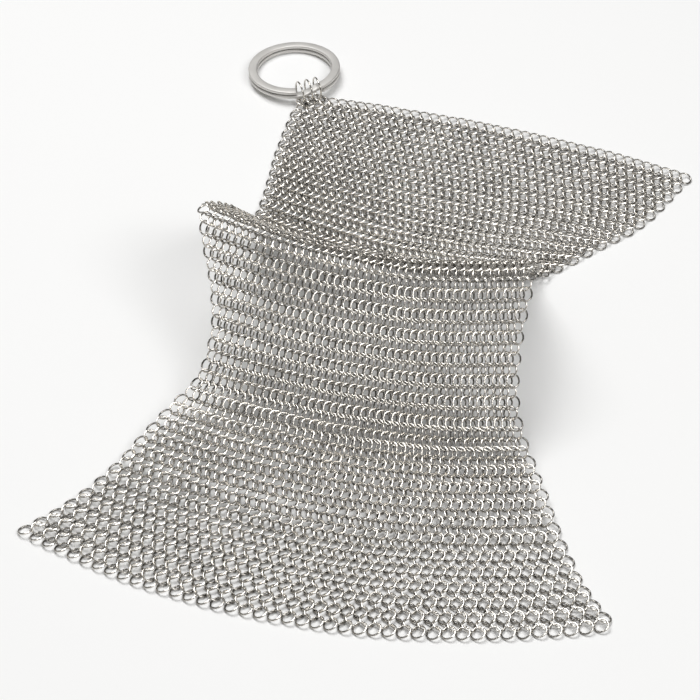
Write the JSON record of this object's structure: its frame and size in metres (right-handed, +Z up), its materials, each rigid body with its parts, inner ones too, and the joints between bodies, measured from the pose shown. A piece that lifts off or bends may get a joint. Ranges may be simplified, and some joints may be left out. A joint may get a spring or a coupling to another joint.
{
  "type": "ring mail pot scrubber",
  "caption": "Sheet of fine steel ring mail for scrubbing pots, laid in a raised fold, with a split hanging ring linked to one corner.",
  "frame": {"origin": "middle of the draped mail's bounding box, on the surface that it lies on", "axes": "+X along the front rows of rings, +Y from the front edge to the back edge with the hanging ring, +Z up"},
  "size_m": [0.1712, 0.2568, 0.0424],
  "materials": {
    "mail": "bright drawn wire, satin",
    "link_rings": "bright drawn wire, satin",
    "hanging_ring": "tumbled satin"
  },
  "bodies": {
    "band_01": {"mail_band_01": "mail"},
    "band_02": {"mail_band_02": "mail"},
    "band_03": {"mail_band_03": "mail"},
    "band_04": {"mail_band_04": "mail"},
    "band_05": {"mail_band_05": "mail"},
    "band_06": {"mail_band_06": "mail"},
    "band_07": {"mail_band_07": "mail"},
    "band_08": {"mail_band_08": "mail"},
    "band_09": {"mail_band_09": "mail"},
    "band_10": {"mail_band_10": "mail"},
    "band_11": {"mail_band_11": "mail"},
    "band_12": {"mail_band_12": "mail"},
    "band_13": {"mail_band_13": "mail"},
    "band_14": {"mail_band_14": "mail"},
    "band_15": {"mail_band_15": "mail"},
    "band_16": {"mail_band_16": "mail"},
    "band_17": {"mail_band_17": "mail"},
    "band_18": {"mail_band_18": "mail"},
    "band_19": {"mail_band_19": "mail"},
    "band_20": {"mail_band_20": "mail"},
    "band_21": {"mail_band_21": "mail"},
    "corner_links": {"link_ring_1": "link_rings", "link_ring_2": "link_rings", "link_ring_3": "link_rings"},
    "hanging_ring": {"hanging_ring": "hanging_ring"}
  },
  "joints": [
    {"name": "fold_01", "type": "hinge", "parent": "band_01", "child": "band_02", "pos_m": [-0.00011, -0.1128, 0.00085], "axis": [1, 0, 0], "range_deg": [-20, 20]},
    {"name": "fold_02", "type": "hinge", "parent": "band_02", "child": "band_03", "pos_m": [-0.00005, -0.10191, 0.00085], "axis": [-1, -0.0001, 0], "range_deg": [-20, 20]},
    {"name": "fold_03", "type": "hinge", "parent": "band_03", "child": "band_04", "pos_m": [0.00008, -0.09047, 0.00121], "axis": [1, 0.0003, 0], "range_deg": [-20, 20]},
    {"name": "fold_04", "type": "hinge", "parent": "band_04", "child": "band_05", "pos_m": [-0.00009, -0.07895, 0.00276], "axis": [-1, 0.0014, 0], "range_deg": [-20, 20]},
    {"name": "fold_05", "type": "hinge", "parent": "band_05", "child": "band_06", "pos_m": [-0.00028, -0.06726, 0.00445], "axis": [1, -0.0049, 0], "range_deg": [-20, 20]},
    {"name": "fold_06", "type": "hinge", "parent": "band_06", "child": "band_07", "pos_m": [0.00026, -0.05597, 0.00808], "axis": [-0.9999, 0.012, 0], "range_deg": [-20, 20]},
    {"name": "fold_07", "type": "hinge", "parent": "band_07", "child": "band_08", "pos_m": [0.00021, -0.04677, 0.01636], "axis": [0.9998, -0.0222, 0], "range_deg": [-20, 20]},
    {"name": "fold_08", "type": "hinge", "parent": "band_08", "child": "band_09", "pos_m": [-0.00097, -0.0378, 0.0254], "axis": [-0.9994, 0.0335, 0], "range_deg": [-20, 20]},
    {"name": "fold_09", "type": "hinge", "parent": "band_09", "child": "band_10", "pos_m": [-0.00299, -0.0288, 0.03443], "axis": [0.9992, -0.041, 0], "range_deg": [-20, 20]},
    {"name": "fold_10", "type": "hinge", "parent": "band_10", "child": "band_11", "pos_m": [-0.0048, -0.01887, 0.04183], "axis": [-0.9988, 0.048, 0], "range_deg": [-20, 20]},
    {"name": "fold_11", "type": "hinge", "parent": "band_11", "child": "band_12", "pos_m": [-0.00505, -0.0087, 0.03518], "axis": [0.9984, -0.0568, 0], "range_deg": [-20, 20]},
    {"name": "fold_12", "type": "hinge", "parent": "band_12", "child": "band_13", "pos_m": [-0.00458, 0.00011, 0.02621], "axis": [-0.9978, 0.0658, 0], "range_deg": [-20, 20]},
    {"name": "fold_13", "type": "hinge", "parent": "band_13", "child": "band_14", "pos_m": [-0.00447, 0.00864, 0.01722], "axis": [0.9973, -0.0728, 0], "range_deg": [-20, 20]},
    {"name": "fold_14", "type": "hinge", "parent": "band_14", "child": "band_15", "pos_m": [-0.0041, 0.01702, 0.0082], "axis": [-0.9969, 0.0791, 0], "range_deg": [-20, 20]},
    {"name": "fold_15", "type": "hinge", "parent": "band_15", "child": "band_16", "pos_m": [-0.00188, 0.02716, 0.00166], "axis": [0.9962, -0.0866, 0], "range_deg": [-20, 20]},
    {"name": "fold_16", "type": "hinge", "parent": "band_16", "child": "band_17", "pos_m": [0.00223, 0.03905, 0.00085], "axis": [-0.9955, 0.095, 0], "range_deg": [-20, 20]},
    {"name": "fold_17", "type": "hinge", "parent": "band_17", "child": "band_18", "pos_m": [0.006, 0.05069, 0.00085], "axis": [0.9948, -0.1017, 0], "range_deg": [-20, 20]},
    {"name": "fold_18", "type": "hinge", "parent": "band_18", "child": "band_19", "pos_m": [0.00962, 0.06207, 0.00085], "axis": [-0.9943, 0.1068, 0], "range_deg": [-20, 20]},
    {"name": "fold_19", "type": "hinge", "parent": "band_19", "child": "band_20", "pos_m": [0.01268, 0.07357, 0.00085], "axis": [0.9941, -0.1088, 0], "range_deg": [-20, 20]},
    {"name": "fold_20", "type": "hinge", "parent": "band_20", "child": "band_21", "pos_m": [0.01532, 0.08514, 0.00085], "axis": [-0.9941, 0.1085, 0], "range_deg": [-20, 20]},
    {"name": "link_swing", "type": "hinge", "parent": "band_21", "child": "corner_links", "pos_m": [-0.04757, 0.10089, 0.0011], "axis": [-0.831, -0.5563, 0], "range_deg": [0, 90]},
    {"name": "ring_flip", "type": "hinge", "parent": "corner_links", "child": "hanging_ring", "pos_m": [-0.04718, 0.10031, 0.00401], "axis": [0.831, 0.5563, 0], "range_deg": [-20, 100]}
  ]
}
